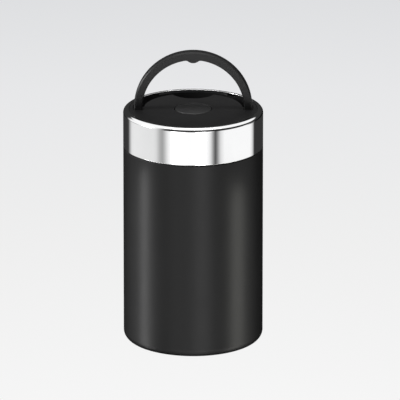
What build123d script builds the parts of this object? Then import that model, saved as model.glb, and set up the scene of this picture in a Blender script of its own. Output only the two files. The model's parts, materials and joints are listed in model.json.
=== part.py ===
from build123d import *
import math
import os

os.makedirs("parts", exist_ok=True)

# Insulated food jar, millimetres.
# Origin: centre of the face it stands on. +Z up, -Y front, +Y back.
# The carrying handle's hinge axis runs along X, and the handle folds back towards +Y.

# ---------------------------------------------------------------- driving dimensions
H = 172.0               # crest of the lid band above the table
R_BODY = 50.0           # outer radius, body and lid are flush
BAND_H = 27.3           # height of the lid band
SPLIT_GAP = 0.4         # gap between the band and the body's shoulder
R_FOOT = 6.2            # radius of the body's lower edge
R_BEAD_OUT = 2.8        # outer rounding of the band's crest
R_RIM_IN = 46.0         # inner radius of the band's lip and of the black rim ring below it
R_LIP = 0.25            # rounding of the lip's inner edge
BAND_T = 1.1            # thickness of the band

SHELL_T = 0.7           # outer steel wall
LINER_T = 0.6           # inner steel wall
FOOT_GAP = 0.3          # the steel foot stands this far above the table, on the pad
R_LINER = 44.8          # inside radius of the food space
R_MOUTH = 38.8          # inside radius of the mouth
Z_FLOOR = 7.2           # inside floor of the food space
Z_RIM = 158.0           # rim that the lid seals on

THREAD_LEAD = 18.0      # rise per turn
THREAD_STARTS = 3
R_COLLAR = 43.8         # root of the neck's thread
R_MALE = 45.4           # crest of the neck's thread
R_SKIRT_IN = 46.0       # root of the lid's thread
R_FEMALE = 44.2         # crest of the lid's thread
THREAD_BASE = 2.6       # width of a thread at its root
THREAD_CREST = 1.2      # width of a thread at its crest

Z_WEB0, Z_WEB1 = 161.2, 163.6   # lid core's web
Z_DECK = H - 0.15       # flat top of the lid
R_DECK = 45.9           # outer radius of the deck insert
Z_GROOVE = 165.0        # floor of the handle's groove

Z_PIVOT = H - 3.1       # handle's hinge axis
ARC_UP = 3.4            # arc centre above the hinge axis
HANDLE_RO = 42.35       # outer radius of the handle
HANDLE_RI = 36.4        # inner radius of the handle
HANDLE_T = 7.4          # depth of the handle
R_PIN = 1.5
PIN_CLEAR = 0.05

R_BUTTON = 13.05
BUTTON_TRAVEL = 2.0
R_STEM = 1.6

Z_SPLIT = H - BAND_H            # lower edge of the band
Z_SHOULDER = Z_SPLIT - SPLIT_GAP  # top of the body's shoulder


# ---------------------------------------------------------------- helpers
def turned(points, arcs=None):
    """Solid of revolution about Z from a closed profile of (r, z) points.

    arcs maps the index of a point to the centre of the arc that runs from it to the next point.
    """
    arcs = arcs or {}
    edges = []
    n = len(points)
    for i in range(n):
        a, b = points[i], points[(i + 1) % n]
        if i in arcs:
            cx, cz = arcs[i]
            r = math.hypot(a[0] - cx, a[1] - cz)
            t0 = math.atan2(a[1] - cz, a[0] - cx)
            t1 = math.atan2(b[1] - cz, b[0] - cx)
            d = (t1 - t0 + math.pi) % (2 * math.pi) - math.pi
            tm = t0 + d / 2
            m = (cx + r * math.cos(tm), cz + r * math.sin(tm))
            edges.append(ThreePointArc((a[0], 0, a[1]), (m[0], 0, m[1]), (b[0], 0, b[1])))
        else:
            edges.append(Line((a[0], 0, a[1]), (b[0], 0, b[1])))
    face = Face(Wire(edges))
    return revolve(face, axis=Axis.Z, revolution_arc=360)


def tube(r0, r1, z0, z1):
    """Plain ring between two radii and two heights."""
    ring = Cylinder(r1, z1 - z0, align=(Align.CENTER, Align.CENTER, Align.MIN))
    if r0 > 0:
        ring -= Cylinder(r0, z1 - z0, align=(Align.CENTER, Align.CENTER, Align.MIN))
    return Pos(0, 0, z0) * ring


def block(x0, x1, y0, y1, z0, z1):
    return Pos((x0 + x1) / 2, (y0 + y1) / 2, (z0 + z1) / 2) * Box(x1 - x0, y1 - y0, z1 - z0)


def rod(r, z0, z1, x=0.0, y=0.0):
    return Pos(x, y, z0) * Cylinder(r, z1 - z0, align=(Align.CENTER, Align.CENTER, Align.MIN))


def rod_x(r, x0, x1, y=0.0, z=0.0):
    return Pos((x0 + x1) / 2, y, z) * Rot(0, 90, 0) * Cylinder(r, abs(x1 - x0))


def thread_rib(r_root, r_crest, z_mid, start_deg, sweep_deg, embed):
    """One start of a trapezoidal thread: a helical rib from r_root to r_crest."""
    out = 1.0 if r_crest > r_root else -1.0
    r_in = r_root - out * embed
    height = THREAD_LEAD * sweep_deg / 360.0
    path = Edge.make_helix(THREAD_LEAD, height, r_root)
    half_b, half_c = THREAD_BASE / 2, THREAD_CREST / 2
    prof = Face(Wire(Polyline(
        (r_in, 0, -half_b), (r_root, 0, -half_b), (r_crest, 0, -half_c),
        (r_crest, 0, half_c), (r_root, 0, half_b), (r_in, 0, half_b), close=True).edges()))
    rib = Solid.sweep(prof, path=path, is_frenet=True)
    return Pos(0, 0, z_mid) * Rot(0, 0, start_deg) * rib


def save(part, name, label):
    part.label = label
    export_step(part, f"parts/{name}.step")
    bb = part.bounding_box()
    print(f"{name:16s} solids {len(part.solids())} valid {part.is_valid} volume {part.volume:10.1f} "
          f"x {bb.min.X:7.2f} {bb.max.X:7.2f} y {bb.min.Y:7.2f} {bb.max.Y:7.2f} z {bb.min.Z:7.2f} {bb.max.Z:7.2f}")


# ---------------------------------------------------------------- jar: steel vessel
rf, zf = R_BODY - R_FOOT, FOOT_GAP + R_FOOT
r_neck = 41.6
outer_shell = turned(
    [
        (42.6, FOOT_GAP), (rf, FOOT_GAP), (R_BODY, zf), (R_BODY, Z_SHOULDER - 0.6),
        (R_BODY - 0.6, Z_SHOULDER), (r_neck + 0.6, Z_SHOULDER), (r_neck, Z_SHOULDER + 0.6), (r_neck, Z_RIM - 0.6),
        (r_neck - SHELL_T, Z_RIM - 0.6), (r_neck - SHELL_T, Z_SHOULDER - SHELL_T),
        (R_BODY - SHELL_T, Z_SHOULDER - SHELL_T), (R_BODY - SHELL_T, zf), (rf, FOOT_GAP + SHELL_T),
        (42.6, FOOT_GAP + SHELL_T),
    ],
    {1: (rf, zf), 3: (R_BODY - 0.6, Z_SHOULDER - 0.6), 5: (r_neck + 0.6, Z_SHOULDER + 0.6), 11: (rf, zf)},
)
save(outer_shell, "outer_shell", "outer shell")

# pressed base plate, turned down at its edge and welded inside the foot
z_plate = 3.0
shell_base = turned([
    (1.2, z_plate), (41.9, z_plate), (41.9, FOOT_GAP), (42.6, FOOT_GAP), (42.6, z_plate + SHELL_T), (1.2, z_plate + SHELL_T),
])
save(shell_base, "shell_base", "base plate")

# bead that closes the evacuation hole
vacuum_seal = turned(
    [(0, z_plate), (1.2, z_plate), (1.2, z_plate + SHELL_T), (2.2, z_plate + SHELL_T), (0, z_plate + SHELL_T + 0.8)],
    {3: (0, z_plate + SHELL_T - 2.625)},
)
save(vacuum_seal, "vacuum_seal", "vacuum seal bead")

# cover disc over the sealed hole, dished up at the middle of its underside
base_disc = turned([(0, 2.2), (30.0, 2.2), (31.0, 1.6), (33.6, 1.6), (33.6, z_plate), (0, z_plate)])
save(base_disc, "base_disc", "base cover disc")

# soft pad ring that the jar stands on
pad_r0, pad_r1 = 33.8, 41.7
base_pad = turned(
    [(pad_r0, 0.5), (pad_r0 + 0.5, 0), (pad_r1 - 0.5, 0), (pad_r1, 0.5), (pad_r1, z_plate), (pad_r0, z_plate)],
)
for k in range(3):
    base_pad -= tube(35.6 + 2.0 * k, 36.1 + 2.0 * k, -0.1, 0.35)
save(base_pad, "base_pad", "anti-slip pad ring")

rl = R_LINER + LINER_T
inner_liner = turned(
    [
        (0, Z_FLOOR), (R_LINER - 10.0, Z_FLOOR), (R_LINER, Z_FLOOR + 10.0), (R_LINER, 134.2),
        (R_LINER - 2.2, 138.0), (R_MOUTH + 1.2, 140.8), (R_MOUTH, 143.0), (R_MOUTH, Z_RIM - 0.3), (R_MOUTH + 0.3, Z_RIM),
        (r_neck - 0.3, Z_RIM), (r_neck, Z_RIM - 0.3), (r_neck, Z_RIM - 0.6), (R_MOUTH + LINER_T, Z_RIM - 0.6),
        (R_MOUTH + LINER_T, 143.0), (R_MOUTH + 1.6, 141.3), (R_LINER - 1.8, 138.5), (rl, 134.2),
        (rl, Z_FLOOR + 10.0), (R_LINER - 10.0, Z_FLOOR - LINER_T), (0, Z_FLOOR - LINER_T),
    ],
    {
        1: (R_LINER - 10.0, Z_FLOOR + 10.0), 7: (R_MOUTH + 0.3, Z_RIM - 0.3), 9: (r_neck - 0.3, Z_RIM - 0.3),
        17: (R_LINER - 10.0, Z_FLOOR + 10.0),
    },
)
save(inner_liner, "inner_liner", "inner steel liner")

# reflective foil round the liner, in the vacuum space
foil_wrap = tube(rl + 0.1, rl + 0.4, 20.0, 128.0)
save(foil_wrap, "foil_wrap", "radiation foil")

# getter pellet in its clip, on the base plate's inner face
z_in = z_plate + SHELL_T
getter_pellet = rod(4.0, z_in + 0.3, z_in + 1.9, 24.0, 0)
save(getter_pellet, "getter_pellet", "getter pellet")
getter_clip = rod(4.9, z_in, z_in + 1.9, 24.0, 0) - rod(4.05, z_in + 0.3, z_in + 2.5, 24.0, 0)
getter_clip += block(17.0, 19.4, -1.5, 1.5, z_in, z_in + 0.4)
save(getter_clip, "getter_clip", "getter clip")

# moulded collar with the neck's three-start thread
neck_collar = turned([
    (r_neck + 0.05, Z_SHOULDER + 0.7), (r_neck + 0.75, Z_SHOULDER), (R_COLLAR, Z_SHOULDER), (R_COLLAR, 156.7),
    (R_COLLAR - 0.5, 157.2), (r_neck + 0.05, 157.2),
])
Z_MALE = 148.5
for k in range(THREAD_STARTS):
    neck_collar += thread_rib(R_COLLAR, R_MALE, Z_MALE, 120.0 * k, 112.0, 0.5)
save(neck_collar, "neck_collar", "threaded neck collar")

# ---------------------------------------------------------------- seal
seal_r0, seal_r1 = 37.5, 42.4
lid_seal = turned(
    [
        (seal_r0 + 0.3, Z_RIM), (seal_r1 - 0.3, Z_RIM), (seal_r1, Z_RIM + 0.3), (seal_r1, 159.7), (seal_r1 - 0.3, 160.0),
        (seal_r0 + 0.3, 160.0), (seal_r0, 159.7), (seal_r0, Z_RIM + 0.3),
    ],
)
save(lid_seal, "lid_seal", "lid seal ring")

# ---------------------------------------------------------------- lid
zb = H - R_BEAD_OUT
rb = R_BODY - R_BEAD_OUT
lid_band = turned(
    [
        (R_BODY - 0.3, Z_SPLIT), (R_BODY, Z_SPLIT + 0.3), (R_BODY, zb), (rb, H), (R_RIM_IN + R_LIP, H),
        (R_RIM_IN, H - R_LIP), (R_RIM_IN, H - BAND_T), (rb, H - BAND_T), (R_BODY - BAND_T, zb), (R_BODY - BAND_T, Z_SPLIT),
    ],
    {0: (R_BODY - 0.3, Z_SPLIT + 0.3), 2: (rb, zb), 4: (R_RIM_IN + R_LIP, H - R_LIP), 7: (rb, zb)},
)
save(lid_band, "lid_band", "lid band")

# moulded rim ring: carries the band's lip and crest from inside and surrounds the deck
rim_ring = turned(
    [
        (R_RIM_IN, Z_WEB1), (R_BODY - BAND_T - 0.1, Z_WEB1), (R_BODY - BAND_T - 0.1, zb - 0.3), (rb, H - BAND_T - 0.35),
        (rb - 0.3, H - BAND_T - 0.05), (R_RIM_IN, H - BAND_T - 0.05),
    ],
)
save(rim_ring, "rim_ring", "lid rim ring")

# lid core: threaded skirt, and the web that carries the deck and the rim ring
lid_core = turned([
    (2.2, Z_WEB0), (R_SKIRT_IN - 1.0, Z_WEB0), (R_SKIRT_IN, Z_WEB0 - 1.0), (R_SKIRT_IN, 145.2), (R_BODY - 1.2, 145.2),
    (R_BODY - 1.2, Z_WEB1), (2.2, Z_WEB1),
])
Z_FEMALE = Z_MALE - 2.9
lead_in = 26.0
for k in range(THREAD_STARTS):
    lid_core += thread_rib(R_SKIRT_IN, R_FEMALE, Z_FEMALE + THREAD_LEAD * lead_in / 360.0,
                           120.0 * k + lead_in, 112.0, 0.5)
SCREW_AT = [(25.0 * math.cos(math.radians(a)), 25.0 * math.sin(math.radians(a))) for a in (30, 150, 210, 330)]
for x, y in SCREW_AT:
    lid_core -= rod(1.6, Z_WEB0 - 0.1, Z_WEB1 + 0.1, x, y)
save(lid_core, "lid_core", "threaded lid core")

# deck insert
deck = turned([(0, Z_WEB1), (R_DECK, Z_WEB1), (R_DECK, Z_DECK - 0.25), (R_DECK - 0.25, Z_DECK), (0, Z_DECK)])
top_cut = 4.0
WASHER_T = 0.5
gx0, gx1 = HANDLE_RI - WASHER_T - 0.1, HANDLE_RO + WASHER_T + 0.1
hy = HANDLE_T / 2
groove_o = rod(42.75, Z_GROOVE, Z_DECK + top_cut, 0, ARC_UP)
groove_i = rod(35.0, Z_GROOVE - 1, Z_DECK + top_cut + 1, 0, 2.4)
half = block(-50, 50, 3.0, 50, Z_GROOVE - 1, Z_DECK + top_cut + 1)
groove = (groove_o - groove_i) & half
rear = (rod(47.0, Z_GROOVE, Z_DECK + top_cut) - rod(42.5, Z_GROOVE - 1, Z_DECK + top_cut + 1, 0, ARC_UP)) & block(
    -30, 30, 20, 50, Z_GROOVE - 1, Z_DECK + top_cut + 1)
scoop = rod(16.0, Z_GROOVE, Z_DECK + top_cut, 0, 40.5) & rod(44.0, Z_GROOVE - 1, Z_DECK + top_cut + 1)
deck -= groove
deck -= rear
deck -= scoop
for s in (-1, 1):
    x0, x1 = sorted((s * gx0, s * gx1))
    deck -= block(x0, x1, -hy - 0.1, 8.0, Z_PIVOT - hy - 0.05, Z_DECK + 1)
    deck -= block(x0, x1, -0.2, 8.0, Z_GROOVE, Z_DECK + 1)
# button well, with the ledge that keeps the button in
deck -= rod(R_BUTTON + 0.35, Z_WEB1 - 1, Z_DECK + 1)
deck -= rod(15.0, Z_WEB1 - 1, 169.1)
# hollow underside, screw bosses standing in it
hollow = tube(16.4, 31.0, Z_WEB1 - 1, 169.6) - rod(18.0, Z_WEB1 - 2, 170, 0, 40.5)
for x, y in SCREW_AT:
    hollow -= rod(3.4, Z_WEB1 - 2, 170, x, y)
deck -= hollow
for x, y in SCREW_AT:
    deck -= rod(1.3, Z_WEB1 - 1, 169.0, x, y)
# hinge bores
for s in (-1, 1):
    deck -= rod_x(R_PIN + PIN_CLEAR, s * 32.5, s * 47.0, 0, Z_PIVOT)
# soft edge round the button hole
edge = [e for e in deck.edges().filter_by(GeomType.CIRCLE)
        if abs(e.radius - (R_BUTTON + 0.35)) < 0.01 and abs(e.center().Z - Z_DECK) < 0.01]
deck = fillet(edge, 0.5)
lid_deck = deck
save(lid_deck, "lid_deck", "lid deck")

# plug: the cup that reaches into the mouth
lid_plug = turned(
    [
        (2.6, 140.0), (34.4, 140.0), (37.4, 143.0), (37.4, 160.0), (42.6, 160.0), (42.6, 158.8), (43.8, 158.8),
        (43.8, Z_WEB0), (35.9, Z_WEB0), (35.9, 143.0), (34.4, 141.5), (3.8, 141.5), (3.8, Z_WEB0), (2.6, Z_WEB0),
    ],
    {1: (34.4, 143.0), 9: (34.4, 143.0)},
)
save(lid_plug, "lid_plug", "lid plug cup")

lid_foam = turned([(3.9, 141.6), (34.3, 141.6), (35.7, 143.1), (35.7, 158.9), (3.9, 158.9)])
save(lid_foam, "lid_foam", "lid insulation")

# pan-head screws that hold the deck to the core
screws = []
for x, y in SCREW_AT:
    head = rod(2.6, Z_WEB0 - 1.6, Z_WEB0, x, y)
    head = fillet(head.edges().filter_by(GeomType.CIRCLE).sort_by(Axis.Z)[0], 0.7)
    s = head + rod(1.25, Z_WEB0, 168.6, x, y)
    for a in (0, 90):
        s -= Pos(x, y, Z_WEB0 - 1.6) * Rot(0, 0, a) * Box(2.6, 0.6, 1.8)
    screws.append(s)
lid_screws = Compound(children=[s.solid() if hasattr(s, "solid") else s for s in screws])
save(lid_screws, "lid_screws", "deck screws")

# bush that guides the valve stem in the web
stem_bush = turned([
    (R_STEM + 0.06, Z_WEB0 - 1.0), (2.55, Z_WEB0 - 1.0), (2.55, Z_WEB0), (2.2, Z_WEB0), (2.2, Z_WEB1), (3.6, Z_WEB1), (3.6, Z_WEB1 + 0.6),
    (R_STEM + 0.06, Z_WEB1 + 0.6),
])
save(stem_bush, "stem_bush", "stem guide bush")

# spacer washers on the hinge pins, one each side of both handle legs
washers = []
for x0 in (HANDLE_RI - 0.05 - WASHER_T, HANDLE_RO + 0.05, -HANDLE_RI + 0.05, -HANDLE_RO - 0.05 - WASHER_T):
    w = rod_x(2.9, x0, x0 + WASHER_T, 0, Z_PIVOT) - rod_x(R_PIN + 0.1, x0 - 1, x0 + WASHER_T + 1, 0, Z_PIVOT)
    washers.append(w.solid())
pivot_washers = Compound(children=washers)
save(pivot_washers, "pivot_washers", "hinge washers")

# return spring of the button
coil_r, wire_r, coils = 5.2, 0.4, 4.0
z_s0, z_s1 = Z_WEB1 + 0.05, 170.1
spring_h = (z_s1 - z_s0) - 2 * wire_r
spring_path = Edge.make_helix(spring_h / coils, spring_h, coil_r)
spring_sec = Plane(origin=spring_path @ 0, z_dir=spring_path % 0) * Circle(wire_r)
button_spring = Pos(0, 0, z_s0 + wire_r) * Solid.sweep(spring_sec.face(), path=spring_path, is_frenet=True)
save(button_spring, "button_spring", "button spring")

# ---------------------------------------------------------------- vent button
dome_r = (R_BUTTON ** 2 + 0.8 ** 2) / (2 * 0.8)
z_edge = Z_DECK - 0.05
vent_button = turned(
    [
        (0, 168.0), (3.4, 168.0), (3.4, 170.2), (11.6, 170.2), (11.6, 167.9), (14.6, 167.9), (14.6, 169.0),
        (R_BUTTON, 169.0), (R_BUTTON, z_edge - 0.6), (R_BUTTON - 0.6, z_edge), (0, z_edge + 0.75),
    ],
    {8: (R_BUTTON - 0.6, z_edge - 0.6), 9: (0, z_edge + 0.75 - ((R_BUTTON - 0.6) ** 2 + 0.75 ** 2) / 1.5)},
)
vent_button -= rod(R_STEM, 167.0, 169.6)
save(vent_button, "vent_button", "vent button")

valve_stem = rod(R_STEM, 136.6, 169.6) + rod(3.2, 136.0, 137.0)
save(valve_stem, "valve_stem", "valve stem")

stem_clip = tube(R_STEM, 3.0, 167.4, 168.0) - block(-0.8, 0.8, -4, 0, 167, 169)
save(stem_clip, "stem_clip", "stem retaining clip")

valve_poppet = turned(
    [(R_STEM, 137.0), (4.0, 137.0), (6.4, 138.6), (6.6, 139.4), (6.6, 140.0), (R_STEM, 140.0)],
)
save(valve_poppet, "valve_poppet", "vent valve disc")

# ---------------------------------------------------------------- handle
zc = Z_PIVOT + ARC_UP           # centre of the arch
R_EDGE = 0.5                    # rounding of the handle's long edges
CHAMFER = 0.8                   # flat bevel along the front of the handle's outer edge
BUMP_H, BUMP_R, BUMP_BLEND = 2.2, 6.0, 3.0


def at(x, z):
    return (x, -hy, z)


# outline: outer arch, two straight legs, inner arch with the thumb bump at its top
z_end = Z_PIVOT - hy
cb = HANDLE_RI - BUMP_H + BUMP_R            # bump circle's centre above the arch centre
rc = HANDLE_RI - BUMP_BLEND                 # blend circles' centres lie on this radius
dist = BUMP_R + BUMP_BLEND
bl_z = (rc ** 2 + cb ** 2 - dist ** 2) / (2 * cb)
bl_x = math.sqrt(rc ** 2 - bl_z ** 2)
t_in = (bl_x * HANDLE_RI / rc, bl_z * HANDLE_RI / rc)           # blend meets the inner arch
t_bp = (BUMP_R / dist * bl_x, cb + BUMP_R / dist * (bl_z - cb))  # blend meets the bump
d1 = math.atan2(t_in[1] - bl_z, t_in[0] - bl_x)
d2 = math.atan2(t_bp[1] - bl_z, t_bp[0] - bl_x)
dm = (d1 + d2) / 2
m_bl = (bl_x + BUMP_BLEND * math.cos(dm), bl_z + BUMP_BLEND * math.sin(dm))
phi = math.atan2(t_in[1], t_in[0]) / 2
m_in = (HANDLE_RI * math.cos(phi), HANDLE_RI * math.sin(phi))
outline = Wire([
    Line(at(-HANDLE_RO, z_end), at(-HANDLE_RO, zc)),
    ThreePointArc(at(-HANDLE_RO, zc), at(0, zc + HANDLE_RO), at(HANDLE_RO, zc)),
    Line(at(HANDLE_RO, zc), at(HANDLE_RO, z_end)),
    Line(at(HANDLE_RO, z_end), at(HANDLE_RI, z_end)),
    Line(at(HANDLE_RI, z_end), at(HANDLE_RI, zc)),
    ThreePointArc(at(HANDLE_RI, zc), at(m_in[0], zc + m_in[1]), at(t_in[0], zc + t_in[1])),
    ThreePointArc(at(t_in[0], zc + t_in[1]), at(m_bl[0], zc + m_bl[1]), at(t_bp[0], zc + t_bp[1])),
    ThreePointArc(at(t_bp[0], zc + t_bp[1]), at(0, zc + cb - BUMP_R), at(-t_bp[0], zc + t_bp[1])),
    ThreePointArc(at(-t_bp[0], zc + t_bp[1]), at(-m_bl[0], zc + m_bl[1]), at(-t_in[0], zc + t_in[1])),
    ThreePointArc(at(-t_in[0], zc + t_in[1]), at(-m_in[0], zc + m_in[1]), at(-HANDLE_RI, zc)),
    Line(at(-HANDLE_RI, zc), at(-HANDLE_RI, z_end)),
    Line(at(-HANDLE_RI, z_end), at(-HANDLE_RO, z_end)),
])
handle = extrude(Face(outline), amount=HANDLE_T, dir=(0, 1, 0))
front_outer = [e for e in handle.edges() if abs(e.center().Y + hy) < 0.01 and (
    (e.geom_type == GeomType.CIRCLE and abs(e.radius - HANDLE_RO) < 0.01)
    or (e.geom_type == GeomType.LINE and abs(abs(e.center().X) - HANDLE_RO) < 0.01))]
handle = chamfer(front_outer, CHAMFER)
long_edges = [e for e in handle.edges() if e.center().Z > z_end + 0.5 and (
    abs(e.center().Y - hy) < 0.01
    or (abs(e.center().Y + hy) < 0.01 and (
        (e.geom_type == GeomType.CIRCLE and e.radius < HANDLE_RI + 0.01)
        or (e.geom_type == GeomType.LINE and abs(abs(e.center().X) - HANDLE_RI) < 0.01))))]
handle = fillet(long_edges, R_EDGE)
# leg ends: round about the hinge, so that the legs can swing; their front faces meet the pocket's front wall when upright
for s in (-1, 1):
    x0, x1 = sorted((s * (HANDLE_RI - 1), s * (HANDLE_RO + 1)))
    corner = block(x0, x1, -hy - 1, hy + 1, z_end - 1, Z_PIVOT) - rod_x(hy, x0 - 1, x1 + 1, 0, Z_PIVOT)
    handle -= corner
    handle -= rod_x(R_PIN, x0, x1, 0, Z_PIVOT)
handle_bail = handle
save(handle_bail, "handle_bail", "carrying handle")

pins = [rod_x(R_PIN, s * 32.6, s * 45.5, 0, Z_PIVOT).solid() for s in (-1, 1)]
pivot_pins = Compound(children=pins)
save(pivot_pins, "pivot_pins", "hinge pins")

total = sorted(f for f in os.listdir("parts") if f.endswith(".step"))
print(len(total), "nodes")
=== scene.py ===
import json
import math

import bmesh
import bpy
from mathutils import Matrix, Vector


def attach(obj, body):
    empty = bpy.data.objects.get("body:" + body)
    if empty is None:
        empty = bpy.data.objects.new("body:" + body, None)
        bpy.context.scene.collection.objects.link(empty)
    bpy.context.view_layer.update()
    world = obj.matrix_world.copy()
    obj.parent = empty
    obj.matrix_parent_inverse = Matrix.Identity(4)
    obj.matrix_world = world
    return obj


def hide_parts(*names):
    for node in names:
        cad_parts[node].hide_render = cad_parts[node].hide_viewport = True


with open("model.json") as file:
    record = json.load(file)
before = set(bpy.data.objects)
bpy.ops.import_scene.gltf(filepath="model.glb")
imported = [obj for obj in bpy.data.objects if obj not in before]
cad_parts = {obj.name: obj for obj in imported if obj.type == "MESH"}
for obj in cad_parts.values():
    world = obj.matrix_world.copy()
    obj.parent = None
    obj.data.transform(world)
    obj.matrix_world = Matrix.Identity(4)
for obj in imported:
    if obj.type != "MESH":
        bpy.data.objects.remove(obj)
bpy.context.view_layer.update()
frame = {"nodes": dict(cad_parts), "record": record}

MM = 0.001
D = bpy.data
scene = bpy.context.scene


# ------------------------------------------------------------------ mesh helpers
def arc(c, r, a0, a1, n):
    """Points of an arc about c, angles in degrees from the +r direction."""
    return [
        (c[0] + r * math.cos(math.radians(a0 + (a1 - a0) * i / n)), c[1] + r * math.sin(math.radians(a0 + (a1 - a0) * i / n)))
        for i in range(n + 1)
    ]


def held(points, pad=0.15, least=1.2):
    """Adds a point just inside each end of the long straight runs, so that smooth shading stays flat between them."""
    out = []
    n = len(points)
    for i, a in enumerate(points):
        b = points[(i + 1) % n]
        out.append(a)
        length = math.dist(a, b)
        if length > least:
            ux, uz = (b[0] - a[0]) / length, (b[1] - a[1]) / length
            out.append((a[0] + ux * pad, a[1] + uz * pad))
            if length > 12:
                k = int(length // 12)
                for j in range(1, k):
                    out.append((a[0] + ux * length * j / k, a[1] + uz * length * j / k))
            out.append((b[0] - ux * pad, b[1] - uz * pad))
    return out


def finish_mesh(name, bm, sharp=32.0):
    bmesh.ops.remove_doubles(bm, verts=bm.verts, dist=1e-8)
    bmesh.ops.recalc_face_normals(bm, faces=bm.faces)
    me = D.meshes.new(name)
    bm.to_mesh(me)
    bm.free()
    me.shade_smooth()
    me.set_sharp_from_angle(angle=math.radians(sharp))
    ob = D.objects.new(name, me)
    scene.collection.objects.link(ob)
    return ob


def lathe(name, points, segments=256, sharp=32.0):
    """Turned piece from a closed profile of (r, z) points in millimetres."""
    bm = bmesh.new()
    turn = [(math.cos(2 * math.pi * k / segments), math.sin(2 * math.pi * k / segments)) for k in range(segments)]
    rings = []
    for r, z in points:
        if r < 1e-6:
            rings.append([bm.verts.new((0, 0, z * MM))])
        else:
            rings.append([bm.verts.new((r * MM * c, r * MM * s, z * MM)) for c, s in turn])
    for a, b in zip(rings, rings[1:] + rings[:1]):
        if len(a) == 1 and len(b) == 1:
            continue
        for k in range(segments):
            j = (k + 1) % segments
            if len(a) == 1:
                bm.faces.new((a[0], b[j], b[k]))
            elif len(b) == 1:
                bm.faces.new((a[k], a[j], b[0]))
            else:
                bm.faces.new((a[k], a[j], b[j], b[k]))
    return finish_mesh(name, bm, sharp)


# ------------------------------------------------------------------ node helpers
class Graph:
    """Small helper that adds nodes and links them. Inputs are sockets or plain values."""

    def __init__(self, tree):
        self.tree = tree
        tree.nodes.clear()

    def node(self, kind, inputs=(), **props):
        n = self.tree.nodes.new(kind)
        for k, v in props.items():
            setattr(n, k, v)
        for key, value in dict(inputs).items():
            socket = n.inputs[key]
            if isinstance(value, bpy.types.NodeSocket):
                self.tree.links.new(value, socket)
            else:
                socket.default_value = value
        return n

    def math(self, op, a, b=0.0, clamp=False):
        return self.node("ShaderNodeMath", {0: a, 1: b}, operation=op, use_clamp=clamp).outputs[0]

    def ramp(self, fac, stops, mode="LINEAR"):
        n = self.node("ShaderNodeValToRGB", {"Fac": fac})
        n.color_ramp.interpolation = mode
        el = n.color_ramp.elements
        while len(el) > 1:
            el.remove(el[-1])
        for i, (p, c) in enumerate(stops):
            e = el[0] if i == 0 else el.new(p)
            e.position = p
            e.color = (*c, 1.0) if hasattr(c, "__len__") else (c, c, c, 1.0)
        return n.outputs["Color"]

    def range(self, value, a0, a1, b0, b1, smooth=False):
        return self.node(
            "ShaderNodeMapRange",
            {"Value": value, "From Min": a0, "From Max": a1, "To Min": b0, "To Max": b1},
            interpolation_type="SMOOTHSTEP" if smooth else "LINEAR",
        ).outputs["Result"]

    def noise(self, vector, scale, detail=2.0, rough=0.5):
        return self.node(
            "ShaderNodeTexNoise", {"Vector": vector, "Scale": scale, "Detail": detail, "Roughness": rough}
        ).outputs["Fac"]

    def mix(self, fac, a, b):
        n = self.node("ShaderNodeMix", data_type="RGBA")
        for key, value in ((0, fac), (6, a), (7, b)):
            if isinstance(value, bpy.types.NodeSocket):
                self.tree.links.new(value, n.inputs[key])
            else:
                n.inputs[key].default_value = (*value, 1.0) if hasattr(value, "__len__") else value
        return n.outputs[2]


def material(name):
    m = D.materials.new(name)
    m.use_nodes = True
    g = Graph(m.node_tree)
    out = g.node("ShaderNodeOutputMaterial")
    bsdf = g.node("ShaderNodeBsdfPrincipled")
    g.tree.links.new(bsdf.outputs[0], out.inputs[0])
    place = g.node("ShaderNodeTexCoord").outputs["Object"]
    return m, g, bsdf, place


def connect(g, bsdf, **sockets):
    for key, value in sockets.items():
        socket = bsdf.inputs[key.replace("_", " ")]
        if isinstance(value, bpy.types.NodeSocket):
            g.tree.links.new(value, socket)
        else:
            socket.default_value = value


def stretched(g, place, scale):
    return g.node("ShaderNodeMapping", {"Vector": place, "Scale": scale}).outputs[0]


def edge_mask(g, place, heights, width):
    """1 within width of any of these heights, in metres, fading out."""
    z = g.node("ShaderNodeSeparateXYZ", {0: place}).outputs[2]
    total = None
    for h in heights:
        near = g.range(g.math("ABSOLUTE", g.math("SUBTRACT", z, h)), 0.0, width, 1.0, 0.0, True)
        total = near if total is None else g.math("MAXIMUM", total, near)
    return total


# ------------------------------------------------------------------ materials
def coat_paint():
    """Satin black powder coat: fine orange-peel grain, slight drift in gloss, faint rubbing at the shoulder and foot."""
    m, g, b, place = material("satin_black_powder_coat")
    broad = g.noise(place, 38.0, 3.0)
    grain = g.noise(place, 1500.0, 3.0, 0.6)
    speck = g.noise(place, 5200.0, 1.0)
    tone = g.ramp(broad, [(0.3, (0.0012, 0.0012, 0.0013)), (0.7, (0.0022, 0.0022, 0.0023))])
    tone = g.mix(g.range(speck, 0.62, 0.75, 0.0, 0.35), tone, (0.010, 0.010, 0.0105))
    rub = g.math("MULTIPLY", edge_mask(g, place, (0.0013, 0.1441), 0.0012), g.range(g.noise(place, 420.0, 4.0, 0.7), 0.5, 0.72, 0.0, 0.55))
    tone = g.mix(rub, tone, (0.035, 0.035, 0.036))
    rough = g.math("ADD", g.range(broad, 0.3, 0.7, 0.445, 0.470), g.range(grain, 0.3, 0.7, -0.02, 0.02))
    bump = g.node("ShaderNodeBump", {"Strength": 0.10, "Distance": 0.00006, "Height": grain}).outputs[0]
    bump = g.node("ShaderNodeBump", {"Strength": 0.06, "Distance": 0.00002, "Height": speck, "Normal": bump}).outputs[0]
    connect(g, b, Base_Color=tone, Roughness=rough, Normal=bump)
    b.inputs["IOR"].default_value = 1.5
    b.inputs["Specular IOR Level"].default_value = 0.264
    return m


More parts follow.
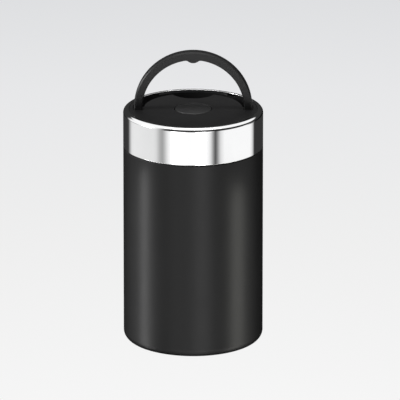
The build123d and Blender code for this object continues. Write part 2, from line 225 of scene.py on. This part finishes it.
def plated():
    """Bright chrome plate: mirror polish with very fine turned hairlines and faint wiping haze."""
    m, g, b, place = material("bright_chrome_plate")
    hair = g.noise(stretched(g, place, (30.0, 30.0, 9000.0)), 1.0, 3.0, 0.6)
    haze = g.noise(place, 55.0, 4.0, 0.6)
    tone = g.ramp(haze, [(0.35, (0.885, 0.888, 0.893)), (0.65, (0.905, 0.908, 0.912))])
    rough = g.math("ADD", g.range(haze, 0.35, 0.7, 0.030, 0.048), g.range(hair, 0.45, 0.75, 0.0, 0.016))
    bump = g.node("ShaderNodeBump", {"Strength": 0.02, "Distance": 0.000004, "Height": hair}).outputs[0]
    connect(g, b, Base_Color=tone, Roughness=rough, Normal=bump)
    b.inputs["Metallic"].default_value = 1.0
    return m


def moulded(name, dark, light, rough0, rough1, grain_scale=1900.0, grain=0.10, depth=0.00005, level=0.5):
    """Moulded plastic with a fine spark-eroded grain."""
    m, g, b, place = material(name)
    broad = g.noise(place, 60.0, 3.0)
    fine = g.noise(place, grain_scale, 3.0, 0.55)
    pits = g.node("ShaderNodeTexVoronoi", {"Vector": place, "Scale": grain_scale * 0.9}).outputs["Distance"]
    tone = g.mix(broad, dark, light)
    tone = g.mix(g.range(pits, 0.05, 0.28, 0.30, 0.0), tone, [c * 0.6 for c in dark])
    rough = g.math("ADD", g.range(broad, 0.3, 0.7, rough0, rough1), g.range(fine, 0.3, 0.7, -0.025, 0.025))
    bump = g.node("ShaderNodeBump", {"Strength": grain, "Distance": depth, "Height": fine}).outputs[0]
    bump = g.node("ShaderNodeBump", {"Strength": grain * 0.7, "Distance": depth * 0.6, "Height": pits, "Normal": bump}).outputs[0]
    connect(g, b, Base_Color=tone, Roughness=rough, Normal=bump)
    b.inputs["Specular IOR Level"].default_value = level
    return m


def steel(name, dark, light, rough0, rough1, scale=(900.0, 900.0, 9000.0), bump_d=0.000008):
    """Stainless steel with turning or drawing lines."""
    m, g, b, place = material(name)
    lines = g.noise(stretched(g, place, scale), 1.0, 4.0, 0.6)
    broad = g.noise(place, 45.0, 4.0, 0.6)
    tone = g.mix(g.math("MULTIPLY", g.math("ADD", broad, lines), 0.5), dark, light)
    rough = g.math("ADD", g.range(broad, 0.3, 0.7, rough0, rough1), g.range(lines, 0.3, 0.7, -0.04, 0.05))
    bump = g.node("ShaderNodeBump", {"Strength": 0.12, "Distance": bump_d, "Height": lines}).outputs[0]
    connect(g, b, Base_Color=tone, Roughness=rough, Normal=bump)
    b.inputs["Metallic"].default_value = 1.0
    return m


def rubbery(name, dark, light, rough0, rough1, sub=0.0):
    """Soft moulded elastomer with a dusty, powdery face."""
    m, g, b, place = material(name)
    broad = g.noise(place, 90.0, 4.0, 0.6)
    fine = g.noise(place, 2400.0, 3.0, 0.6)
    dust = g.range(g.noise(place, 700.0, 4.0, 0.7), 0.55, 0.75, 0.0, 0.25)
    tone = g.mix(dust, g.mix(broad, dark, light), [min(1.0, c * 1.8 + 0.01) for c in light])
    rough = g.math("ADD", g.range(broad, 0.3, 0.7, rough0, rough1), g.range(fine, 0.3, 0.7, -0.03, 0.03))
    bump = g.node("ShaderNodeBump", {"Strength": 0.15, "Distance": 0.00004, "Height": fine}).outputs[0]
    connect(g, b, Base_Color=tone, Roughness=rough, Normal=bump)
    b.inputs["Specular IOR Level"].default_value = 0.35
    return m


def foamed():
    """Rigid closed-cell foam: small bubbles of differing size, warm off-white."""
    m, g, b, place = material("rigid_foam")
    cells = g.node("ShaderNodeTexVoronoi", {"Vector": place, "Scale": 900.0}).outputs["Distance"]
    small = g.node("ShaderNodeTexVoronoi", {"Vector": place, "Scale": 2600.0}).outputs["Distance"]
    broad = g.noise(place, 70.0, 4.0, 0.6)
    tone = g.mix(broad, (0.72, 0.64, 0.46), (0.84, 0.79, 0.66))
    tone = g.mix(g.range(cells, 0.1, 0.55, 0.4, 0.0), tone, (0.50, 0.42, 0.27))
    height = g.math("ADD", cells, g.math("MULTIPLY", small, 0.4))
    bump = g.node("ShaderNodeBump", {"Strength": 0.6, "Distance": 0.0003, "Height": height}).outputs[0]
    connect(g, b, Base_Color=tone, Roughness=g.range(broad, 0.3, 0.7, 0.8, 0.92), Normal=bump)
    return m


def foiled():
    """Crinkled bright aluminium radiation foil."""
    m, g, b, place = material("crinkled_foil")
    folds = g.node("ShaderNodeTexVoronoi", {"Vector": place, "Scale": 260.0}, feature="F1").outputs["Distance"]
    ripple = g.noise(place, 420.0, 5.0, 0.65)
    tone = g.mix(ripple, (0.70, 0.70, 0.71), (0.88, 0.88, 0.88))
    height = g.math("ADD", folds, g.math("MULTIPLY", ripple, 0.8))
    bump = g.node("ShaderNodeBump", {"Strength": 0.5, "Distance": 0.0003, "Height": height}).outputs[0]
    connect(g, b, Base_Color=tone, Roughness=g.range(ripple, 0.3, 0.7, 0.16, 0.30), Normal=bump)
    b.inputs["Metallic"].default_value = 1.0
    return m


def sintered():
    """Porous grey getter metal."""
    m, g, b, place = material("sintered_getter")
    grains = g.node("ShaderNodeTexVoronoi", {"Vector": place, "Scale": 4200.0}).outputs["Distance"]
    broad = g.noise(place, 500.0, 4.0, 0.7)
    tone = g.mix(broad, (0.13, 0.125, 0.12), (0.27, 0.26, 0.245))
    bump = g.node("ShaderNodeBump", {"Strength": 0.5, "Distance": 0.0001, "Height": grains}).outputs[0]
    connect(g, b, Base_Color=tone, Roughness=g.range(grains, 0.1, 0.6, 0.55, 0.8), Normal=bump)
    b.inputs["Metallic"].default_value = 0.8
    return m


MATS = {
    "shell_coat": coat_paint(),
    "band_chrome": plated(),
    "lid_plastic": moulded("black_deck_plastic", (0.0070, 0.0070, 0.0072), (0.0086, 0.0086, 0.0088), 0.44, 0.50, level=0.17),
    "handle_plastic": moulded("black_handle_plastic", (0.0150, 0.0150, 0.0153), (0.0190, 0.0190, 0.0193), 0.29, 0.34, 2200.0, 0.08, level=0.18),
    "core_plastic": moulded("dark_core_plastic", (0.030, 0.030, 0.031), (0.045, 0.045, 0.046), 0.42, 0.52, 1500.0, 0.08),
    "steel_inner": steel("polished_liner_steel", (0.56, 0.56, 0.57), (0.70, 0.70, 0.705), 0.20, 0.30),
    "steel_small": steel("plain_small_steel", (0.47, 0.47, 0.48), (0.62, 0.62, 0.625), 0.26, 0.36, (2600.0, 2600.0, 6000.0)),
    "silicone": rubbery("pale_silicone", (0.52, 0.53, 0.52), (0.62, 0.63, 0.62), 0.45, 0.56),
    "pad_rubber": rubbery("black_pad_rubber", (0.018, 0.018, 0.018), (0.030, 0.030, 0.030), 0.72, 0.82),
    "foam": foamed(),
    "foil": foiled(),
    "getter": sintered(),
}
MATS["button_plastic"] = moulded("black_button_plastic", (0.0070, 0.0070, 0.0073), (0.0090, 0.0090, 0.0093), 0.30, 0.35, 2200.0, 0.05, level=0.8)


# painted light: the rim ring is the deck's black plastic made about twice as light, so that its wall inside the band
# reads as lit
MATS["rim_plastic_painted_light"] = moulded("black_rim_plastic", (0.0145, 0.0145, 0.0148), (0.0180, 0.0180, 0.0183), 0.50, 0.58, level=0.06)
# painted shade: the washers are the dark core plastic made about three times darker, so that they read as shaded inside
# the pocket gaps; the higher roughness and lower gloss are their real finish
MATS["washer_plastic_painted_shade"] = moulded("dull_washer_plastic", (0.010, 0.010, 0.0103), (0.015, 0.015, 0.0153), 0.62, 0.70, 1500.0, 0.08, level=0.1)
OWN_LOOK = {"pivot_washers": "washer_plastic_painted_shade"}


def dress(ob, slot, mat=None):
    ob.data.materials.clear()
    ob.data.materials.append(MATS[mat or slot])


SLOT_OF = {s["node"]: s["material_slot"] for s in frame["record"]["subparts"]}
for name, ob in frame["nodes"].items():
    dress(ob, SLOT_OF[name], OWN_LOOK.get(name))


def stands_for(ob, body, node, mat=None):
    dress(ob, SLOT_OF[node], mat)
    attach(ob, body)
    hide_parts(node)
    return ob


# ------------------------------------------------------------------ body shell
shell = lathe(
    "body_shell",
    held(
        [(42.6, 0.3)]
        + arc((43.8, 6.5), 6.2, -90, 0, 28)
        + arc((49.4, 143.7), 0.6, 0, 90, 8)
        + arc((42.2, 144.9), 0.6, -90, -180, 6)
        + [(41.6, 157.4), (40.9, 157.4), (40.9, 143.6), (49.3, 143.6)]
        + arc((43.8, 6.5), 5.5, 0, -90, 16)
        + [(42.6, 1.0)]
    ),
)
stands_for(shell, "jar", "outer_shell")

# ------------------------------------------------------------------ chrome band
band = lathe(
    "chrome_band",
    held(
        arc((49.7, 145.0), 0.3, -90, 0, 6)
        + arc((47.2, 169.2), 2.8, 0, 90, 40)
        + arc((46.25, 171.75), 0.25, 90, 180, 10)
        + [(46.0, 169.9), (46.9, 169.9)]
        + arc((47.2, 169.2), 1.7, 90, 0, 16)
        + [(48.9, 144.7)]
    ),
    segments=320,
)
stands_for(band, "lid", "lid_band")

# ------------------------------------------------------------------ rim ring inside the band
rim = lathe(
    "rim_ring_moulding",
    held(
        [(46.0, 163.6), (48.8, 163.6), (48.8, 168.9), (47.9, 169.85), (46.0, 169.85)]
    ),
)
# its plastic is made lighter than the deck's: painted light on the wall inside the band
stands_for(rim, "lid", "rim_ring", "rim_plastic_painted_light")

# ------------------------------------------------------------------ button
z_edge, r_in = 171.8, 12.75
dome = ((r_in**2) + 0.75**2) / 1.5
button = lathe(
    "vent_button_cap",
    held(
        [(0.0, 168.0), (3.4, 168.0), (3.4, 170.2), (11.6, 170.2), (11.6, 167.9), (14.6, 167.9), (14.6, 169.0), (13.05, 169.0)]
        + arc((12.75, 171.5), 0.3, 0, 90, 8)
        + [(r_in * (1 - i / 14), z_edge + 0.75 - dome + math.sqrt(dome**2 - (r_in * (1 - i / 14)) ** 2)) for i in range(1, 15)],
        pad=0.1,
    ),
    segments=160,
)
stands_for(button, "button", "vent_button", "button_plastic")


# ------------------------------------------------------------------ carrying handle
def handle_mesh():
    ro, ri, hy, edge = 42.35, 36.4, 3.7, 0.5
    z_pivot = 168.9
    zc = z_pivot + 3.4
    bump_h, bump_r, blend = 2.2, 6.0, 3.0
    cb = ri - bump_h + bump_r
    rc = ri - blend
    reach = bump_r + blend
    bz = (rc**2 + cb**2 - reach**2) / (2 * cb)
    bx = math.sqrt(rc**2 - bz**2)
    phi_b = math.atan2(bx, bz)
    tx, tz = bump_r / reach * bx, cb + bump_r / reach * (bz - cb)
    phi_t = math.atan2(tx, tz)

    def inner(phi):
        a = abs(phi)
        if a >= phi_b:
            return ri
        if a >= phi_t:
            d = a - phi_b
            return rc * math.cos(d) + math.sqrt(max(0.0, blend**2 - (rc * math.sin(d)) ** 2))
        return cb * math.cos(a) - math.sqrt(max(0.0, bump_r**2 - (cb * math.sin(a)) ** 2))

    def section(width, y0, y1, r, n=6):
        """Rounded rectangle, bevelled at the front of its outer edge: u runs from the outer face inwards, y from front to back."""
        c = min(0.8, (y1 - y0) / 2 - 0.02)
        r = min(r, width / 2 - 0.01, (y1 - y0) / 2 - 0.01)
        pts = [(c * i / n, y0 + c * (1 - i / n)) for i in range(n + 1)]
        for cu, cy, a0 in ((width - r, y0 + r, 270), (width - r, y1 - r, 0), (r, y1 - r, 90)):
            for i in range(n + 1):
                a = math.radians(a0 + 90 * i / n)
                pts.append((cu + r * math.cos(a), cy + r * math.sin(a)))
        # straight sides keep a loop in the middle, so that the shading stays flat
        out = []
        for i, p in enumerate(pts):
            q = pts[(i + 1) % len(pts)]
            out.append(p)
            if math.dist(p, q) > 1.0:
                out.append((p[0] + (q[0] - p[0]) * 0.06, p[1] + (q[1] - p[1]) * 0.06))
                out.append(((p[0] + q[0]) / 2, (p[1] + q[1]) / 2))
                out.append((p[0] + (q[0] - p[0]) * 0.94, p[1] + (q[1] - p[1]) * 0.94))
        return out

    stations = []
    # left leg from its end up
    for t in (6, 12, 20, 28, 36, 45, 54, 63, 72, 81, 90):
        stations.append((z_pivot - hy * math.cos(math.radians(t)), hy * math.sin(math.radians(t))))
    stations += [(169.6, hy), (170.9, hy)]
    loops = []

    def put(sec, origin, axis):
        """origin: outer face point (x, z); axis: unit vector inwards (x, z)."""
        return [(origin[0] + u * axis[0], y, origin[1] + u * axis[1]) for u, y in sec]

    for z, half in stations:
        loops.append(put(section(ro - ri, -half, half, edge), (-ro, z), (1, 0)))
    marks = set(round(-90 + i * 1.25, 4) for i in range(145))
    lim = math.degrees(phi_b)
    k = int(math.ceil(lim / 0.35))
    marks |= {round(-lim + i * 2 * lim / (2 * k), 4) for i in range(2 * k + 1)}
    marks = sorted(marks)
    clean = []
    for a in marks:
        if not clean or a - clean[-1] > 0.12:
            clean.append(a)
    for a in clean:
        phi = math.radians(a)
        width = ro - inner(phi)
        ux, uz = math.sin(phi), math.cos(phi)
        loops.append(put(section(width, -hy, hy, edge), (ro * ux, zc + ro * uz), (-ux, -uz)))
    for z, half in reversed(stations):
        loops.append(put(section(ro - ri, -half, half, edge), (ro, z), (-1, 0)))
    bm = bmesh.new()
    rings = [[bm.verts.new((x * MM, y * MM, z * MM)) for x, y, z in loop] for loop in loops]
    n = len(rings[0])
    for a, b in zip(rings, rings[1:]):
        for i in range(n):
            j = (i + 1) % n
            bm.faces.new((a[i], a[j], b[j], b[i]))
    bm.faces.new(rings[0])
    bm.faces.new(list(reversed(rings[-1])))
    return finish_mesh("carry_handle", bm, 40.0)


handle = handle_mesh()
stands_for(handle, "handle", "handle_bail")


# ------------------------------------------------------------------ studio: floor and backdrop
def studio_cove():
    """Floor that sweeps up into a backdrop all round, lit evenly."""
    pts = [(0.0, 0.0), (0.5, 0.0), (1.0, 0.0), (2.0, 0.0), (4.0, 0.0), (5.4, 0.0)]
    pts += [(5.4 + 1.0 * math.sin(math.radians(a)), 1.0 - math.cos(math.radians(a))) for a in range(9, 91, 9)]
    pts += [(6.4 * math.cos(math.radians(a)), 1.0 + 6.4 * math.sin(math.radians(a))) for a in range(6, 90, 6)] + [(0.0, 7.4)]
    bm = bmesh.new()
    seg = 96
    rings = []
    for r, z in pts:
        if r < 1e-6:
            rings.append([bm.verts.new((0, 0, z))])
        else:
            rings.append([bm.verts.new((r * math.cos(2 * math.pi * k / seg), r * math.sin(2 * math.pi * k / seg), z)) for k in range(seg)])
    for a, b in zip(rings, rings[1:]):
        for k in range(seg):
            j = (k + 1) % seg
            if len(a) == 1:
                bm.faces.new((a[0], b[k], b[j]))
            elif len(b) == 1:
                bm.faces.new((a[k], b[0], a[j]))
            else:
                bm.faces.new((a[k], b[k], b[j], a[j]))
    me = D.meshes.new("studio_cove")
    bm.to_mesh(me)
    bm.free()
    me.shade_smooth()
    ob = D.objects.new("studio_cove", me)
    scene.collection.objects.link(ob)
    m = D.materials.new("pale_studio_floor")
    m.use_nodes = True
    g = Graph(m.node_tree)
    out = g.node("ShaderNodeOutputMaterial")
    place = g.node("ShaderNodeTexCoord").outputs["Object"]
    far = g.node("ShaderNodeVectorMath", {0: place, 1: (0.0, -0.40, 0.0)}, operation="DISTANCE").outputs["Value"]
    # a plain fade, from near white at the front of the floor to pale grey up the backdrop
    stops = [(0.255, 246, 246, 246), (0.62, 239, 239, 239), (1.02, 231, 231.5, 233), (1.29, 222, 223, 225), (2.2, 214, 215, 217)]

    def lin(v):
        v /= 255.0
        return ((v + 0.055) / 1.055) ** 2.4 if v > 0.04045 else v / 12.92

    top = stops[-1][0]
    colour = g.ramp(g.math("DIVIDE", far, top), [(s[0] / top, (lin(s[1]), lin(s[2]), lin(s[3]))) for s in stops])
    glow = g.node("ShaderNodeEmission", {"Color": colour, "Strength": 1.0}).outputs[0]
    clear = g.node("ShaderNodeBsdfTransparent").outputs[0]
    back = g.node("ShaderNodeNewGeometry").outputs["Backfacing"]
    mixed = g.node("ShaderNodeMixShader", {0: back, 1: glow, 2: clear}).outputs[0]
    g.tree.links.new(mixed, out.inputs[0])
    me.materials.append(m)
    # the floor is seen, and the soft boxes light the object
    ob.visible_diffuse = ob.visible_glossy = ob.visible_transmission = ob.visible_volume_scatter = ob.visible_shadow = False
    return ob


studio_cove()


# ------------------------------------------------------------------ studio: soft boxes round the object
def studio_world():
    w = D.worlds.new("soft_box_studio")
    scene.world = w
    w.use_nodes = True
    g = Graph(w.node_tree)
    out = g.node("ShaderNodeOutputWorld")
    way = g.node("ShaderNodeTexCoord").outputs["Generated"]
    xyz = g.node("ShaderNodeSeparateXYZ", {0: way}).outputs
    az = g.math("MULTIPLY", g.math("ARCTAN2", xyz[0], g.math("MULTIPLY", xyz[1], -1.0)), 180 / math.pi)
    el = g.math("MULTIPLY", g.math("ARCSINE", xyz[2]), 180 / math.pi)
    turn = g.math("DIVIDE", g.math("ADD", az, 180.0), 360.0)

    def ring(stops):
        def part(some):
            tenth = g.ramp(turn, [((a + 180) / 360, v / 10) for a, v in some])
            return g.node("ShaderNodeVectorMath", {0: tenth, 3: 10.0}, operation="SCALE").outputs[0]

        if len(stops) < 30:
            return part(stops)
        half = len(stops) // 2
        right = g.math("GREATER_THAN", az, float(stops[half][0]))
        return g.mix(right, part(stops[: half + 1]), part(stops[half:]))

    def level_by(stops):
        """Height in degrees as a function of azimuth."""
        tenth = g.ramp(turn, [((a + 180) / 360, v / 100 + 0.5) for a, v in stops])
        single = g.node("ShaderNodeSeparateXYZ", {0: tenth}).outputs[0]
        return g.math("MULTIPLY", g.math("SUBTRACT", single, 0.5), 100.0)

    # panels at and below eye level, by azimuth
    low = ring([
        (-180, 0.038), (-140, 0.040), (-134, 0.060), (-127, 0.52), (-122, 0.83), (-114, 0.885), (-90, 0.855), (-69, 0.835), (-64, 0.77),
        (-60, 0.615), (-56, 0.45), (-52, 0.395), (-48, 0.56), (-44, 0.81), (-40, 1.02), (-37.5, 1.06), (-34, 3.4), (-22, 2.2), (-8, 1.1), (3, 1.15), (9, 5.2),
        (19, 8.4), (21, 1.25), (22.5, 1.09), (26, 0.99), (29, 0.78), (33, 0.35), (37, 0.075), (41, 0.32), (46, 0.79), (53, 1.03), (80, 1.05), (108, 1.04),
        (112, 0.90), (116, 0.62), (120.5, 0.036),
    ])
    # heights at which the dark gap above the panels begins and ends, by azimuth
    gap0 = level_by([(-180, -8), (60, -8), (85, -5), (112, 3), (180, 3)])
    gap1 = level_by([(-180, 38), (-165, 35), (-150, 30), (-130, 27), (-60, 40), (-45, 45), (45, 45), (85, 34), (115, 23), (130, 25), (150, 30), (165, 35), (180, 38)])
    above0 = g.range(g.math("SUBTRACT", el, gap0), -1.75, 1.75, 0.0, 1.0, True)
    above1 = g.range(g.math("SUBTRACT", el, gap1), -3.0, 3.0, 0.0, 1.0, True)
    low_zone = g.math("MULTIPLY", g.math("SUBTRACT", 1.0, above0), g.range(el, -56.0, -34.0, 0.55, 1.0, True))
    # the panels far round the sides are narrow: weaker above and below the level that the band mirrors
    aside = g.range(g.math("ABSOLUTE", az), 92.0, 108.0, 0.0, 0.85, True)
    off_level = g.range(g.math("ABSOLUTE", g.math("ADD", el, 18.0)), 3.0, 6.0, 0.0, 1.0, True)
    # and the one right of the middle is brighter there
    flank = g.math("MULTIPLY", g.range(az, 18.0, 25.0, 0.0, 2.3, True), g.range(az, 31.0, 38.0, 1.0, 0.0, True))
    share = g.math("ADD", g.math("SUBTRACT", 1.0, aside), flank)
    low_zone = g.math("MULTIPLY", low_zone, g.math("ADD", 1.0, g.math("MULTIPLY", g.math("SUBTRACT", share, 1.0), off_level)))
    # from eye level up: open on the left, dark elsewhere
    mid = ring([(-180, 0.034), (-140, 0.036), (-134, 0.055), (-127, 0.64), (-121, 1.04), (-90, 1.06), (-66, 1.02), (-56, 0.50), (-47, 0.030), (115, 0.028), (124, 0.034)])
    mid_zone = g.math("MULTIPLY", above0, g.math("SUBTRACT", 1.0, above1))
    # overhead box
    high_zone = above1
    high = 1.08

    def scaled(colour, by):
        return g.node("ShaderNodeVectorMath", {0: colour, 3: by}, operation="SCALE").outputs[0]

    total = scaled(low, low_zone)
    for part in (scaled(mid, mid_zone), scaled((high, high, high), high_zone)):
        total = g.node("ShaderNodeVectorMath", {0: total, 1: part}, operation="ADD").outputs[0]
    bg = g.node("ShaderNodeBackground", {"Color": total, "Strength": 1.0})
    g.tree.links.new(bg.outputs[0], out.inputs[0])


studio_world()


def soft_box(name, at, target, width, height, radiance, colour=(1, 1, 1)):
    lamp = D.lights.new(name, "AREA")
    lamp.shape = "RECTANGLE"
    lamp.size, lamp.size_y = width, height
    lamp.energy = radiance * math.pi * width * height
    lamp.color = colour
    ob = D.objects.new(name, lamp)
    scene.collection.objects.link(ob)
    ob.location = at
    ob.rotation_euler = (Vector(target) - Vector(at)).to_track_quat("-Z", "Y").to_euler()
    ob.visible_camera = False
    return ob


def side_strip(name, azimuth, away, width, top, height, radiance, colour=(1, 1, 1)):
    """Upright strip light beside the body, facing its axis; azimuth is measured from the front towards +X."""
    a = math.radians(azimuth)
    z = top - height / 2
    return soft_box(name, (away * math.sin(a), -away * math.cos(a), z), (0.0, 0.0, z), width, height, radiance, colour)


side_strip("strip_left", -59.9, 0.075, 0.010, 0.1282, 0.16, 6.85)
side_strip("strip_right", 53.2, 0.075, 0.0228, 0.1168, 0.16, 2.93, (1.0, 1.0, 0.93))
side_strip("strip_back_left", -139.0, 0.075, 0.020, 0.118, 0.15, 2.2)
side_strip("strip_back_right", 139.0, 0.075, 0.020, 0.118, 0.15, 2.2)
soft_box("box_top", (0.0, -0.10, 1.35), (0.0, 0.0, 0.17), 1.2, 0.20, 10.0)
soft_box("box_left", (-1.130, -0.199, 0.521), (0.0, 0.0, 0.17), 0.42, 0.42, 12.0)

# ------------------------------------------------------------------ camera
cam_data = D.cameras.new("view_camera")
cam = D.objects.new("view_camera", cam_data)
scene.collection.objects.link(cam)
pitch, distance = math.radians(17.93), 5.346
cam.location = (0.0, -distance * math.cos(pitch), 0.086 + distance * math.sin(pitch))
cam.rotation_euler = (math.pi / 2 - pitch, 0.0, 0.0)
cam_data.sensor_fit = "HORIZONTAL"
cam_data.sensor_width = 36.0
cam_data.lens = 7453.0 * 36.0 / 400.0
cam_data.shift_x = 0.01706
cam_data.shift_y = 0.05717
cam_data.clip_start, cam_data.clip_end = 0.1, 60.0
cam_data.dof.use_dof = False
scene.camera = cam

scene.view_settings.view_transform = "Standard"
scene.view_settings.look = "None"
scene.view_settings.exposure = 0.0
scene.view_settings.gamma = 1.0
